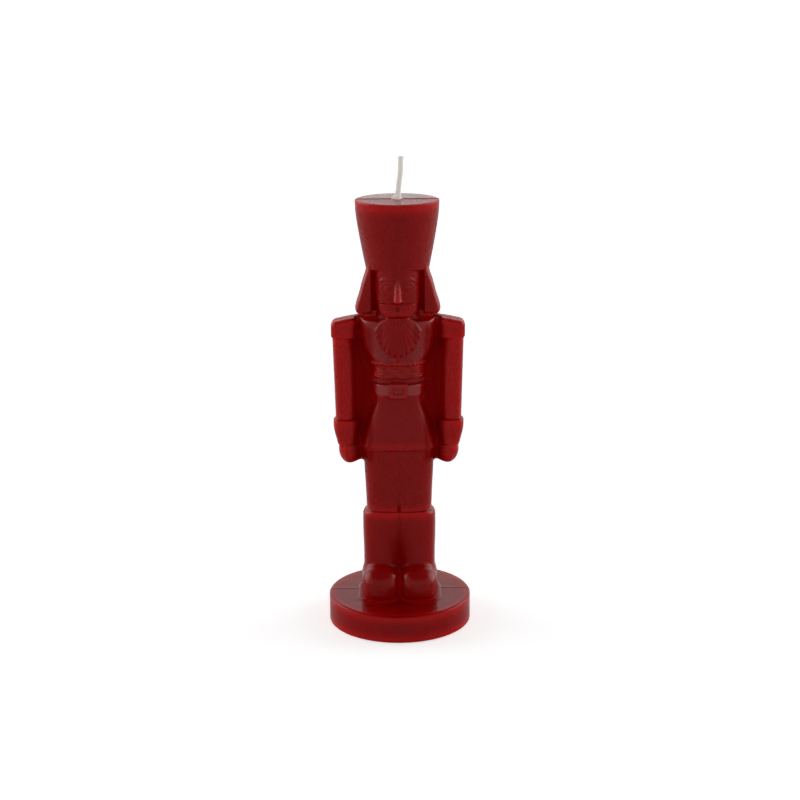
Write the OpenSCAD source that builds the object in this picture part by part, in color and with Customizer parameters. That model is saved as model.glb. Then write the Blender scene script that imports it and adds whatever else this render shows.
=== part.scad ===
// Nutcracker soldier candle: a solid red wax casting of a toy soldier on a round foot, with a cotton wick.
// +Z is up, the front of the figure faces -Y, and the origin is the centre of the foot's underside.
// Right and left are the soldier's own, so its right side is at -X.
// The casting is divided at the creases of the moulding: each sculpted element is a closed solid that
// meets its neighbours face to face.

/* [Foot] */
// Diameter of the round foot
foot_d = 50; // [48:0.1:54]
// Height of the round foot
foot_h = 9.8; // [8:0.1:12]
// Rounding of the foot's upper edge
foot_round = 1; // [0.5:0.1:1.5]

/* [Figure] */
// Distance of the figure's middle plane behind the centre of the foot
axis_y = 2; // [1:0.1:3]
// Width of the flat stretch in the middle of the tunic's oval plan
tunic_flat = 6.6; // [5:0.1:7.4]

/* [Legs] */
// Height of the boots, from the foot to the boot tops
boot_h = 31.4; // [30:0.1:33]
// Width over both boot shafts
boots_w = 25.6; // [25:0.1:26.4]
// Depth of a boot shaft, front to back
boot_depth = 16.8; // [16:0.1:17.6]
// Radius of a round toe
toe_r = 6.5; // [6.2:0.1:6.8]
// Reach of the toes in front of the figure's middle plane
toe_reach = 15.2; // [14.5:0.1:16]
// Height of the trousers between boots and hem
trouser_h = 22.3; // [20:0.1:24]
// Width over both trouser legs
trousers_w = 23.6; // [23:0.1:24.4]
// Depth of a trouser leg, front to back
trouser_depth = 15.4; // [14:0.1:16]

/* [Tunic] */
// Height of the skirt, hem to belt
skirt_h = 18.9; // [17:0.1:21]
// Width of the skirt at the hem
hem_w = 25.6; // [25:0.1:26.4]
// Width of the skirt under the belt
skirt_top_w = 16.2; // [15.6:0.1:17]
// Width of the belt over the hips
belt_w = 18; // [17.6:0.1:18.6]
// Height of the belt
belt_h = 4.2; // [3.6:0.1:4.8]
// Height of the hollow between belt and sash
hollow_h = 2; // [1.6:0.1:2.4]
// Height of the ribbed sash
sash_h = 4.6; // [4:0.1:5.2]
// Number of ribs round the sash
sash_ribs = 4; // [2:1:5]
// Height of the rope braid above the sash
braid_h = 1.8; // [1.4:0.1:2.2]
// Height of the bodice, braid to shoulder line
bodice_h = 14.3; // [13:0.1:16]
// Width of the bodice at the chest
chest_w = 25.6; // [25:0.1:26.4]
// Height of the collar
collar_h = 2; // [1.6:0.1:2.4]

/* [Arms] */
// Distance between the arm axes at the shoulders
shoulder_span = 37.6; // [37:0.1:38.4]
// Distance between the arm axes at the cuffs
cuff_span = 36.4; // [36:0.1:37]
// Diameter of a sleeve
sleeve_d = 7.4; // [7:0.1:7.8]
// Diameter of an epaulette
epaulette_d = 8.9; // [8.6:0.1:9.2]
// Diameter of a cuff at its upper edge
cuff_d = 8.6; // [8.2:0.1:9]
// Height of a cuff
cuff_h = 9.9; // [9:0.1:11]
// Radius of a hand
hand_r = 4; // [3.8:0.1:4.2]
// Thickness of the wax web between arm and body
web_t = 3; // [2.4:0.1:4]

/* [Head] */
// Diameter of the head
head_d = 15.8; // [15.4:0.1:16.2]
// Height from the collar to the front of the hat's rim
head_h = 15.9; // [15:0.1:17]
// Width of the hair at its lower edge
hair_w = 29.3; // [28.8:0.1:30]
// Width of the beard at its widest locks
beard_w = 14.8; // [14:0.1:15.4]
// Length of the beard below the moustache
beard_len = 15.6; // [14.8:0.1:16]

/* [Hat] */
// Diameter of the hat's flat top
hat_top_d = 28.8; // [28:0.1:30]
// Diameter of the hat at its rim
hat_rim_d = 21.8; // [21.4:0.1:22.4]
// Height of the hat above the front of its rim
hat_h = 22.4; // [20:0.1:25]
// Slope of the rim, which dips towards the back of the head, in degrees
rim_slope = 9; // [7:0.5:10]

/* [Wick] */
// Diameter of the braided cotton wick
wick_d = 1.6; // [1.4:0.1:2]
// Length of the wick above the hat
wick_len = 14.8; // [11:0.1:17]
// Angle of the free wick's bend towards the soldier's left, in degrees
wick_lean = 13; // [4:1:20]
// Diameter of the tinned tab that holds the wick's foot
tab_d = 15; // [12:0.5:18]
// Thickness of the tab
tab_t = 0.3; // [0.2:0.05:0.5]
// Height of the tab's crimped neck
tab_neck_h = 4; // [3:0.1:5]

/* [Hidden] */
$fn = 64;

WAX = "#7a1218";
COTTON = "#e6e1d4";
TIN = "#c3c6c9";

RIGHT = -1;
LEFT = 1;
far = 200;

// Heights of the creases between the elements, from the foot up
boot_top = foot_h + boot_h;
hem_z = boot_top + trouser_h;
belt_z = hem_z + skirt_h;
belt_top = belt_z + belt_h;
sash_z = belt_top + hollow_h;
braid_z = sash_z + sash_h;
bodice_z = braid_z + braid_h;
shoulder_z = bodice_z + bodice_h;
head_z = shoulder_z + collar_h;
rim_z = head_z + head_h;
hat_top = rim_z + hat_h;

// Arms
epaulette_drop = 7.4;
epaulette_rise = 1.4;
epaulette_z = shoulder_z - epaulette_drop;
sleeve_len = 28.5;
hand_drop = 2.4;
hand_inset = 1.6;
cuff_base_d = 7.2;
cuff_top = epaulette_z - sleeve_len;
cuff_z = cuff_top - cuff_h;
hand_z = cuff_z - hand_drop;

// Head and hat: the gap under the hair and the hollows behind the face follow from these
head_r = head_d / 2;
hat_rim_r = hat_rim_d / 2;
head_y = axis_y - hat_rim_r + head_r;
hair_gap = 0.9;
hair_z = shoulder_z + hair_gap;
hair_front = -3;
hair_back_r = 14.9;
hair_back_y = -0.5;
face_slack = 1.1;
eye_z = rim_z - 5.6;
eye_x = 3.5;
rim_dip = hat_rim_r * tan(rim_slope);

wick_r = wick_d / 2;
wick_gap = 0.02;
wick_pivot_z = hat_top + wick_r + wick_gap;

// ---------- helpers ----------

// Points on an arc, counted from angle a0 to a1
function arc(cx, cy, r, a0, a1, steps = 8) =
    [for (i = [0:steps]) let (a = a0 + (a1 - a0) * i / steps) [cx + r * cos(a), cy + r * sin(a)]];

// A solid turned about the figure's axis
module turned(outline) {
    translate([0, axis_y, 0]) rotate_extrude() polygon(outline);
}

// A solid with an oval plan: its outline, given as half widths and heights from the bottom up,
// is turned half round at either end and runs straight between the ends
module oval(outline) {
    core = tunic_flat / 2;
    rim = [for (p = outline) [p[0] - core, p[1]]];
    low = outline[0][1];
    high = outline[len(outline) - 1][1];
    for (side = [RIGHT, LEFT])
        translate([side * core, axis_y, 0]) rotate_extrude(angle = 180, start = -90 * side)
            polygon(concat([[0, low]], rim, [[0, high]]));
    translate([-core, axis_y, 0]) rotate([90, 0, 90]) linear_extrude(2 * core)
        polygon(concat(rim, [for (i = [len(rim) - 1:-1:0]) [-rim[i][0], rim[i][1]]]));
}

// A rectangle with round corners, centred on the origin
module rounded_rect(w, d, r) {
    square([w - 2 * r, d], center = true);
    square([w, d - 2 * r], center = true);
    for (x = [-1, 1], y = [-1, 1])
        translate([x * (w / 2 - r), y * (d / 2 - r)]) circle(r);
}

// Everything on one side of the figure's middle line
module side_half(side) {
    translate([side * far / 2, 0, 0]) cube([far, far, 2 * far], center = true);
}

// Everything under the sloping rim of the hat
module under_rim() {
    translate([0, axis_y - hat_rim_r, rim_z]) rotate([-rim_slope, 0, 0])
        translate([0, 0, -far / 2]) cube([far, far, far], center = true);
}

// A flat outline in x and z, pushed from the front y0 back to y1
module from_front(y0, y1) {
    translate([0, y1, 0]) rotate([90, 0, 0]) linear_extrude(y1 - y0) children();
}

module wick_bore() {
    translate([0, axis_y, -1]) cylinder(r = wick_r, h = far);
}

// ---------- foot and legs ----------

module foot_solid() {
    r = foot_d / 2;
    edge = 0.4;
    rotate_extrude() polygon(concat(
        [[0, 0], [r - edge, 0], [r, edge]],
        arc(r - foot_round, foot_h - foot_round, foot_round, 0, 90, 6),
        [[0, foot_h]]));
}

module foot() {
    color(WAX) difference() {
        foot_solid();
        wick_bore();
        translate([0, axis_y, -1]) cylinder(d = tab_d, h = 1 + tab_t);
        translate([0, axis_y, -1]) cylinder(r = wick_r + tab_t, h = 1 + tab_neck_h);
    }
}

// A shaft that leaves a valley to its neighbour, and a domed toe with its instep running back into the shaft
module boot(side) {
    corner = 5;
    valley = 0.9;
    shaft_w = boots_w / 2 + valley;
    toe_y = axis_y - toe_reach + toe_r;
    toe_top = 3;
    instep_inset = 0.3;
    instep_drop = 1.5;
    color(WAX) difference() {
        intersection() {
            union() {
                translate([side * (boots_w - shaft_w) / 2, axis_y, foot_h])
                    linear_extrude(boot_h) rounded_rect(shaft_w, boot_depth, corner);
                translate([side * toe_r, toe_y, foot_h]) {
                    cylinder(r = toe_r, h = toe_top);
                    translate([0, 0, toe_top]) sphere(toe_r);
                    translate([instep_inset - toe_r, 0, 0])
                        cube([2 * (toe_r - instep_inset), toe_reach - toe_r, toe_top + toe_r - instep_drop]);
                }
            }
            side_half(side);
            translate([0, 0, foot_h + far / 2]) cube(far, center = true);
        }
        wick_bore();
    }
}

module trouser(side) {
    corner = 5;
    valley = 0.5;
    leg_w = trousers_w / 2 + valley;
    color(WAX) difference() {
        intersection() {
            translate([side * (trousers_w - leg_w) / 2, axis_y, boot_top])
                linear_extrude(trouser_h) rounded_rect(leg_w, trouser_depth, corner);
            side_half(side);
        }
        wick_bore();
    }
}

// ---------- tunic ----------

module skirt_solid() {
    edge = 0.5;
    flare = 1.1;
    oval([[hem_w / 2 - edge, hem_z], [hem_w / 2, hem_z + edge],
          [skirt_top_w / 2 + flare, belt_z - skirt_h / 3], [skirt_top_w / 2, belt_z]]);
}

module belt_solid() {
    oval([[belt_w / 2, belt_z], [belt_w / 2, belt_top]]);
}

// A round-bottomed groove runs between each pair of ribs, over the narrower hollow above the belt
module sash_solid() {
    rib = sash_h / sash_ribs;
    bulge = 0.25;
    inset = 0.3;
    hollow = 1.1;
    rib_share = 0.45;
    r = belt_w / 2 - inset;
    neck = r - hollow;
    oval(concat(
        [[neck, belt_top], [neck, sash_z]],
        [for (i = [0:sash_ribs - 1], p = arc(0, 0, 1, -80, 80, 4))
            [r + bulge * p[0], sash_z + rib * (i + 0.5 + rib_share * p[1])]],
        [[r, braid_z]]));
}

module braid_solid() {
    half_h = braid_h / 2;
    oval(arc(belt_w / 2, braid_z + half_h, half_h, -90, 90, 6));
}

waist_step = 0.4;
bodice_edge = 0.8;

// The chest swells from the waist to the shoulder line along a quarter of a sine wave
function bodice_rows(grow) =
    let (waist = belt_w / 2 + waist_step, chest = chest_w / 2, rows = 6, edge = bodice_edge)
    concat(
        [for (i = [0:rows])
            [waist + grow + (chest - waist) * sin(90 * i / rows), bodice_z + (bodice_h - edge) * i / rows]],
        [[chest + grow - edge, shoulder_z]]);

module bodice_solid() {
    oval(bodice_rows(0));
}

module collar_solid() {
    base_w = 18.5;
    top_w = 15;
    oval([[base_w / 2, shoulder_z], [top_w / 2, head_z]]);
}

module tunic_skirt() { color(WAX) difference() { skirt_solid(); wick_bore(); } }
module belt() { color(WAX) difference() { belt_solid(); wick_bore(); } }
module sash() { color(WAX) difference() { sash_solid(); wick_bore(); } }
module waist_braid() { color(WAX) difference() { braid_solid(); wick_bore(); } }
module bodice() { color(WAX) difference() { bodice_solid(); wick_bore(); } }
module collar() { color(WAX) difference() { collar_solid(); wick_bore(); } }

module belt_buckle() {
    w = 6.4;
    overhang = 0.45;
    h = belt_h + 2 * overhang;
    stand = 1;
    band = 1.3;
    well = 1.7;
    corner = 1;
    well_corner = 0.5;
    front = axis_y - (belt_w - tunic_flat) / 2 - stand;
    color(WAX) difference() {
        translate([0, 0, belt_z + belt_h / 2]) from_front(front, front + 2 * stand)
            rounded_rect(w, h, corner);
        translate([0, 0, belt_z + belt_h / 2]) from_front(front - stand, front + well - stand)
            rounded_rect(w - 2 * band, h - 2 * band, well_corner);
        belt_solid();
        skirt_solid();
        sash_solid();
    }
}

// ---------- arms ----------

// A round cap over the arm, bridged in to the shoulder and sloping down to its outer edge
module epaulette_solid(side) {
    r = epaulette_d / 2;
    x = shoulder_span / 2;
    h = epaulette_drop + epaulette_rise;
    bridge_inner = 6;
    bridge_inset = 0.7;
    slope = 11;
    outer_drop = 1.4;
    difference() {
        union() {
            translate([side * x, axis_y, epaulette_z]) cylinder(r = r, h = h);
            translate([side * (x + bridge_inner) / 2, axis_y, epaulette_z + h / 2])
                cube([x - bridge_inner, 2 * (r - bridge_inset), h], center = true);
        }
        translate([side * (x + r), axis_y, shoulder_z - outer_drop]) rotate([0, side * slope, 0])
            translate([0, 0, far / 2]) cube(far, center = true);
    }
}

module sleeve_solid(side) {
    top = [side * shoulder_span / 2, epaulette_z];
    low = [side * cuff_span / 2, cuff_top];
    run = norm(top - low);
    taper = 0.4;
    tuck = 0.5;
    translate([low[0], axis_y, low[1]]) rotate([0, asin((top[0] - low[0]) / run), 0])
        translate([0, 0, -tuck]) cylinder(d1 = sleeve_d - taper, d2 = sleeve_d, h = run + 2 * tuck);
}

module cuff_solid(side) {
    translate([side * cuff_span / 2, axis_y, cuff_z]) {
        cylinder(d1 = cuff_base_d, d2 = cuff_d, h = cuff_h / 2);
        translate([0, 0, cuff_h / 2]) cylinder(d = cuff_d, h = cuff_h / 2);
    }
}

module hand_solid(side) {
    intersection() {
        translate([side * (cuff_span / 2 - hand_inset), axis_y, hand_z]) sphere(hand_r);
        translate([0, 0, cuff_z - far / 2]) cube(far, center = true);
    }
}

module epaulette(side) {
    color(WAX) difference() { epaulette_solid(side); bodice_solid(); collar_solid(); }
}

module sleeve(side) {
    color(WAX) difference() { sleeve_solid(side); epaulette_solid(side); cuff_solid(side); }
}

module cuff(side) { color(WAX) difference() { cuff_solid(side); skirt_solid(); } }

module hand(side) { color(WAX) difference() { hand_solid(side); skirt_solid(); } }

// The web runs on into the arm and the body, which are then taken out of it
module arm_web(side) {
    outer = cuff_span / 2;
    tuck = 1;
    hip = 8;
    waist = 6;
    outer_low = hand_z - 2.6;
    inner_low = hand_z - 3;
    color(WAX) difference() {
        from_front(axis_y - web_t / 2, axis_y + web_t / 2)
            polygon([[side * (outer - hand_inset), outer_low], [side * hip, inner_low],
                     [side * waist, epaulette_z + tuck], [side * outer, epaulette_z + tuck]]);
        epaulette_solid(side);
        sleeve_solid(side);
        cuff_solid(side);
        hand_solid(side);
        bodice_solid();
        braid_solid();
        sash_solid();
        belt_solid();
        skirt_solid();
        translate([0, axis_y, 0]) cube([trousers_w, trouser_depth, 2 * hem_z], center = true);
    }
}

// ---------- head ----------

module head_solid() {
    chin_round = 4;
    intersection() {
        translate([0, head_y, 0]) rotate_extrude() polygon(concat(
            [[0, head_z]],
            arc(head_r - chin_round, head_z + chin_round, chin_round, -90, 0, 6),
            [[head_r, hat_top], [0, hat_top]]));
        under_rim();
    }
}

// The shell of wax that stands proud of the face by the given height
module proud_of_face(height) {
    difference() {
        intersection() {
            children();
            translate([0, head_y, head_z - far / 2]) cylinder(r = head_r + height, h = far);
        }
        head_solid();
        translate([0, far / 2, 0]) cube([far, far, 3 * far], center = true);
    }
}

module head() { color(WAX) difference() { head_solid(); wick_bore(); } }

module eye(side) {
    ball = 1.4;
    sunk = 0.6;
    stand = 0.7;
    seat_y = head_y - sqrt(head_r * head_r - eye_x * eye_x) + sunk;
    color(WAX) proud_of_face(stand) translate([side * eye_x, seat_y, eye_z]) sphere(ball);
}

// An arch over the eye, a little further out than the eye itself
module eyebrow(side) {
    r = 2.6;
    band = 0.8;
    stand = 0.5;
    outset = 0.3;
    low = 0.3;
    color(WAX) proud_of_face(stand) from_front(-far / 4, head_y)
        translate([side * (eye_x + outset), eye_z]) intersection() {
            difference() { circle(r); circle(r - band); }
            translate([-r, low]) square([2 * r, r]);
        }
}

module nose() {
    length = 6.4;
    tip_z = head_z + 5;
    tip_r = 1.7;
    bridge_r = 0.9;
    sunk = 0.4;
    slope = 4;
    color(WAX) difference() {
        translate([0, head_y - head_r + sunk, tip_z]) rotate([-slope, 0, 0])
            cylinder(r1 = tip_r, r2 = bridge_r, h = length);
        head_solid();
    }
}

moustache_stand = 1;

// Each wing of the moustache is a rounded drop that narrows towards the middle of the lip
module moustache_solid() {
    z = head_z + 2.2;
    wing = 2.1;
    tip_x = 5.2;
    inner = 1.7;
    dip = 0.4;
    from_front(-far / 4, head_y) {
        for (side = [RIGHT, LEFT]) {
            translate([side * tip_x, z]) circle(wing);
            translate([side * (inner - dip), z]) circle(inner);
        }
        translate([-tip_x, z - inner]) square([2 * tip_x, 2 * inner - dip]);
    }
}

module moustache() { color(WAX) proud_of_face(moustache_stand) moustache_solid(); }

// Half the beard's outline as shares of its half width and length, from its root to its middle tip
BEARD_LOCKS = [[0.52, 0], [0.72, 0.16], [1, 0.36], [0.84, 0.42], [0.86, 0.6], [0.6, 0.74], [0.46, 0.88],
               [0.3, 0.84], [0, 1]];

beard_root_z = head_z + 0.6;

module beard_outline() {
    half = [for (p = BEARD_LOCKS) [p[0] * beard_w / 2, beard_root_z - p[1] * beard_len]];
    polygon(concat(half, [for (i = [len(half) - 2:-1:0]) [-half[i][0], half[i][1]]]));
}

module beard() {
    stand = 1.5;
    color(WAX) difference() {
        intersection() {
            from_front(-far / 4, head_y - head_r / 2) beard_outline();
            oval(concat(bodice_rows(stand), [[chest_w / 2 + stand - bodice_edge, beard_root_z]]));
        }
        bodice_solid();
        collar_solid();
        head_solid();
        proud_of_face(moustache_stand) moustache_solid();
    }
}

module hair() {
    lower_round = 1.5;
    lower_bevel = 0.8;
    r = hair_w / 2;
    gap_back = 2;
    color(WAX) difference() {
        intersection() {
            turned(concat(
                [[0, hair_z], [r - lower_round - lower_bevel, hair_z]],
                arc(r - lower_round, hair_z + lower_round + lower_bevel, lower_round, -60, 0, 4),
                [[hat_rim_r, rim_z - rim_dip], [hat_rim_r, hat_top], [0, hat_top]]));
            under_rim();
            translate([0, hair_front + far / 2, 0]) cube([far, far, 3 * far], center = true);
            translate([0, hair_back_y, hair_z]) cylinder(r = hair_back_r, h = far);
        }
        head_solid();
        collar_solid();
        translate([0, head_y, hair_z - 1]) intersection() {
            cylinder(r = head_r + face_slack, h = hat_top - hair_z);
            translate([0, gap_back - far / 2, 0]) cube(far, center = true);
        }
        for (side = [RIGHT, LEFT]) epaulette_solid(side);
    }
}

// ---------- hat ----------

// The wall swells outwards as it rises, along part of a sine wave
module hat() {
    top_r = hat_top_d / 2;
    low_z = rim_z - 2.5 * rim_dip;
    low_r = hat_rim_r - 0.6;
    rise = hat_top - low_z;
    lip = 0.6;
    rows = 6;
    swell = 66;
    color(WAX) difference() {
        turned(concat(
            [[0, low_z]],
            [for (i = [0:rows]) let (t = i / rows)
                [low_r + (top_r - low_r) * sin(swell * t) / sin(swell), low_z + (rise - lip) * t]],
            [[top_r - lip, hat_top], [0, hat_top]]));
        under_rim();
        wick_bore();
    }
}

// ---------- wick ----------

module wick_core() {
    color(COTTON) translate([0, axis_y, tab_t]) cylinder(r = wick_r, h = hat_top - tab_t);
}

// The free wick starts in a half ball with a short straight shank, then bends to the soldier's left
module wick_end() {
    shank = 1;
    run = wick_len - 2 * wick_r - wick_gap - shank;
    bend_r = run / (wick_lean * PI / 180);
    color(COTTON) translate([0, axis_y, wick_pivot_z]) {
        rotate_extrude() polygon(concat(
            [[0, -wick_r]], arc(0, 0, wick_r, -75, 0, 5), [[wick_r, shank], [0, shank]]));
        translate([bend_r, 0, shank]) rotate([90, 0, 0])
            rotate_extrude(angle = -wick_lean, start = 180) translate([bend_r, 0]) circle(wick_r);
    }
}

module wick_tab() {
    color(TIN) translate([0, axis_y, 0]) {
        cylinder(d = tab_d, h = tab_t);
        difference() {
            cylinder(r = wick_r + tab_t, h = tab_neck_h);
            cylinder(r = wick_r, h = tab_neck_h + 1);
        }
    }
}

// ---------- nodes ----------

foot();
boot(RIGHT);  // boot_right
boot(LEFT);  // boot_left
trouser(RIGHT);  // trouser_right
trouser(LEFT);  // trouser_left
tunic_skirt();
belt();
belt_buckle();
sash();
waist_braid();
bodice();
collar();
epaulette(RIGHT);  // epaulette_right
epaulette(LEFT);  // epaulette_left
sleeve(RIGHT);  // sleeve_right
sleeve(LEFT);  // sleeve_left
cuff(RIGHT);  // cuff_right
cuff(LEFT);  // cuff_left
hand(RIGHT);  // hand_right
hand(LEFT);  // hand_left
arm_web(RIGHT);  // arm_web_right
arm_web(LEFT);  // arm_web_left
head();
eye(RIGHT);  // eye_right
eye(LEFT);  // eye_left
eyebrow(RIGHT);  // eyebrow_right
eyebrow(LEFT);  // eyebrow_left
nose();
moustache();
beard();
hair();
hat();
wick_core();
wick_end();
wick_tab();
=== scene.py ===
"""Looks of the nutcracker figure candle: a skin of dyed wax sculpted round the frame, and a braided wick.

Every wax element is a distance field in millimetres. The fields are joined with small fillets into one skin,
and each element's piece is the part of that skin that lies nearest to it, closed off a little way inside.
"""
import math

import bpy
import numpy as np
from mathutils import Matrix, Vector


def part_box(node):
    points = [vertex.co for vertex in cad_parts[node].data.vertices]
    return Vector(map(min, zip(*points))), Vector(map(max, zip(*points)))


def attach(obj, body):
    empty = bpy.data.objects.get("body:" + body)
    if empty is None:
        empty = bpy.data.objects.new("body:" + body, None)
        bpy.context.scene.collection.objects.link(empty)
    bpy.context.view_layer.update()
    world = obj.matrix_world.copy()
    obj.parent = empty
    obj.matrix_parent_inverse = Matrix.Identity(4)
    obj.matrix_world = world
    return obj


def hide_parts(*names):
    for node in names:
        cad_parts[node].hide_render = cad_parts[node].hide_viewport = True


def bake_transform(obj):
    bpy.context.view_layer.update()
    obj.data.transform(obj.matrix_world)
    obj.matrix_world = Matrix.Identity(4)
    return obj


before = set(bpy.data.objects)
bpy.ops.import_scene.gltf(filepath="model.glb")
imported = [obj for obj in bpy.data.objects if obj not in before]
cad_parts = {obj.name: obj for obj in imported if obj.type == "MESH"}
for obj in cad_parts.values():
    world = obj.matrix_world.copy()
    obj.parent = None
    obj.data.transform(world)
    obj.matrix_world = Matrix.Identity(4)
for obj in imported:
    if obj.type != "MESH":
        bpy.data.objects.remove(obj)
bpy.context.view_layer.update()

MM = 0.001
STEP = 0.4           # spacing of the grids that broad elements are meshed on
FINE_STEP = 0.22     # and the small ones


# ---------- the frame, in millimetres ----------

def node_box(node):
    """Lowest and highest corners of a CAD node in millimetres."""
    low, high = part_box(node)
    return np.array(low) / MM, np.array(high) / MM


BOX = {name: node_box(name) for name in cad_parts}


def width_of(node):
    """Size of a node along x."""
    return BOX[node][1][0] - BOX[node][0][0]


def z_span(node):
    """Heights of a node's underside and top."""
    return BOX[node][0][2], BOX[node][1][2]


AXIS_Y = (BOX["wick_core"][0][1] + BOX["wick_core"][1][1]) / 2
FOOT_R = width_of("foot") / 2
FOOT_TOP = z_span("foot")[1]
BOOT_TOP = z_span("boot_left")[1]
HEM_Z = z_span("tunic_skirt")[0]
BELT_Z, BELT_TOP = z_span("belt")
SASH_HOLLOW = 2      # height of the narrow neck between belt and sash
SASH_Z, SASH_TOP = z_span("sash")[0] + SASH_HOLLOW, z_span("sash")[1]
BRAID_Z, BODICE_Z = z_span("waist_braid")
SHOULDER_Z = z_span("bodice")[1]
CHIN_Z = z_span("head")[0]
RIM_Z = z_span("head")[1]
HAT_TOP = z_span("hat")[1]
HAIR_Z = z_span("hair")[0]
HEAD_R = width_of("head") / 2
HEAD_Y = (BOX["head"][0][1] + BOX["head"][1][1]) / 2
FACE_Y = BOX["head"][0][1]


# ---------- distance helpers ----------

def join(a, b, r):
    """Union of two fields with a fillet of radius r in the crease."""
    return np.maximum(r, np.minimum(a, b)) - np.hypot(np.maximum(r - a, 0), np.maximum(r - b, 0))


def meet(a, b, r):
    """Intersection of two fields with an edge rounded to radius r."""
    return np.minimum(-r, np.maximum(a, b)) + np.hypot(np.maximum(r + a, 0), np.maximum(r + b, 0))


def cut(a, b, r):
    """Field a less field b, with the edge rounded to radius r."""
    return meet(a, -b, r)


def step_up(t, low, high):
    """0 below low, 1 above high, and a smooth ramp between."""
    s = np.clip((t - low) / (high - low), 0, 1)
    return s * s * (3 - 2 * s)


def bump(t, width):
    """A smooth bump of height 1 about t = 0."""
    return np.exp(-(t / width) ** 2)


def curve(t, points):
    """A smooth curve through (t, value) points, by cubic pieces with averaged slopes."""
    ts = np.array([p[0] for p in points], float)
    vs = np.array([p[1] for p in points], float)
    slopes = np.gradient(vs, ts)
    fine = np.linspace(ts[0], ts[-1], 40 * len(ts))
    i = np.clip(np.searchsorted(ts, fine, side="right") - 1, 0, len(ts) - 2)
    h = ts[i + 1] - ts[i]
    s = (fine - ts[i]) / h
    values = (vs[i] * (1 + 2 * s) * (1 - s) ** 2 + slopes[i] * h * s * (1 - s) ** 2
              + vs[i + 1] * s * s * (3 - 2 * s) + slopes[i + 1] * h * s * s * (s - 1))
    return np.interp(t, fine, values)


def oval(x, y, half_w, half_d, power):
    """Distance to an upright column whose plan is a superellipse: power 2 is an ellipse, more is boxier."""
    u = np.abs(x) / half_w
    v = np.abs(y) / half_d
    m = np.maximum(u ** power + v ** power, 1e-4)
    slope = m ** (1 / power - 1) * np.hypot(u ** (power - 1) / half_w, v ** (power - 1) / half_d)
    return np.maximum((m ** (1 / power) - 1) / np.maximum(slope, 1e-3), -np.minimum(half_w, half_d))


def ellipsoid(x, y, z, rx, ry, rz):
    """Near distance to an ellipsoid about the origin."""
    k0 = np.sqrt((x / rx) ** 2 + (y / ry) ** 2 + (z / rz) ** 2)
    k1 = np.sqrt((x / rx ** 2) ** 2 + (y / ry ** 2) ** 2 + (z / rz ** 2) ** 2)
    return k0 * (k0 - 1) / np.maximum(k1, 1e-4)


def slab(z, low, high):
    """Distance to the layer between two heights."""
    return np.maximum(low - z, z - high)


def capsule(x, y, z, a, b, ra, rb):
    """Distance to a rod from a to b whose radius goes from ra to rb."""
    ax, ay, az = (b[i] - a[i] for i in range(3))
    t = np.clip(((x - a[0]) * ax + (y - a[1]) * ay + (z - a[2]) * az) / (ax * ax + ay * ay + az * az), 0, 1)
    gap = np.sqrt((x - a[0] - t * ax) ** 2 + (y - a[1] - t * ay) ** 2 + (z - a[2] - t * az) ** 2)
    return gap - (ra + (rb - ra) * t)


def layer(base, rise, depth=0.8):
    """A relief that stands rise above the base surface and reaches depth below it."""
    return np.maximum(base - rise, -base - depth)


# ---------- foot and legs ----------

def foot_field(x, y, z):
    """A round slab with a soft upper edge and a shallow dish in its underside."""
    dish_depth = 0.22
    upper_edge = 0.9
    lower_edge = 0.35
    r = np.hypot(x, y)
    dish = dish_depth * (1 - step_up(r, 0.68 * FOOT_R, 0.8 * FOOT_R))
    body = meet(r - FOOT_R, z - FOOT_TOP, upper_edge)
    return meet(body, dish - z, lower_edge)


SOLE_R = 6.7                          # half width of a sole
TOE_REACH = 6.9                       # from the middle of a toe's round front to its tip
TOE_Y = BOX["boot_left"][0][1] + TOE_REACH
HEEL_Y = 3.6
TOE_HEIGHT = 11.8


def past_sole(y):
    """Distance along y beyond the straight stretch between a sole's round ends."""
    return np.maximum(np.maximum(TOE_Y - y, y - HEEL_Y), 0)


def boot_plan(x, y, side):
    """Distance in plan to the sole of one boot: a long rounded shape from heel to toe."""
    return np.hypot(x - side * SOLE_R, past_sole(y)) - SOLE_R


def boots_field(x, y, z):
    """Both boots: one broad shaft with a channel down its middle, and two domed toes."""
    half = curve(z, [(FOOT_TOP - 1, 12.4), (FOOT_TOP + 15, 12.5), (BOOT_TOP - 4, 12.7), (BOOT_TOP + 1, 12.5)])
    low_share = step_up(BOOT_TOP - 3 - z, 0, BOOT_TOP - 3 - (FOOT_TOP + 11))
    channel = 0.3 * bump(x, 0.4) + 1.7 * low_share * bump(x, 0.9 + 2 * low_share)
    shaft = oval(x, y - AXIS_Y, half, 8.45, 3) + channel
    shaft = meet(shaft, z - BOOT_TOP + 0.07 * (y - AXIS_Y + 8.6), 0.6 + 1.4 * step_up(np.abs(x), 8.5, 12))
    soles = []
    for side in (-1, 1):
        plan = oval(x - side * (SOLE_R - 0.3), past_sole(y), SOLE_R + 0.25, TOE_REACH, 2.1)
        dome = meet(plan, z - FOOT_TOP - TOE_HEIGHT, 6.5)
        soles.append(meet(dome, FOOT_TOP - 0.7 - z, 3.5))
    toes = join(soles[0], soles[1], 0.4)
    return np.maximum(join(shaft, toes, 1.3), FOOT_TOP - 1 - z)


def boot_lip(x, y, z):
    """The thin step of wax that runs round both boots on the foot."""
    reach = 0.95
    rise = 0.22
    sunk = 2
    plan = join(boot_plan(x, y, -1), boot_plan(x, y, 1), 3) - reach
    return np.maximum(meet(plan, z - FOOT_TOP - rise, 0.2), FOOT_TOP - sunk - z)


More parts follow.
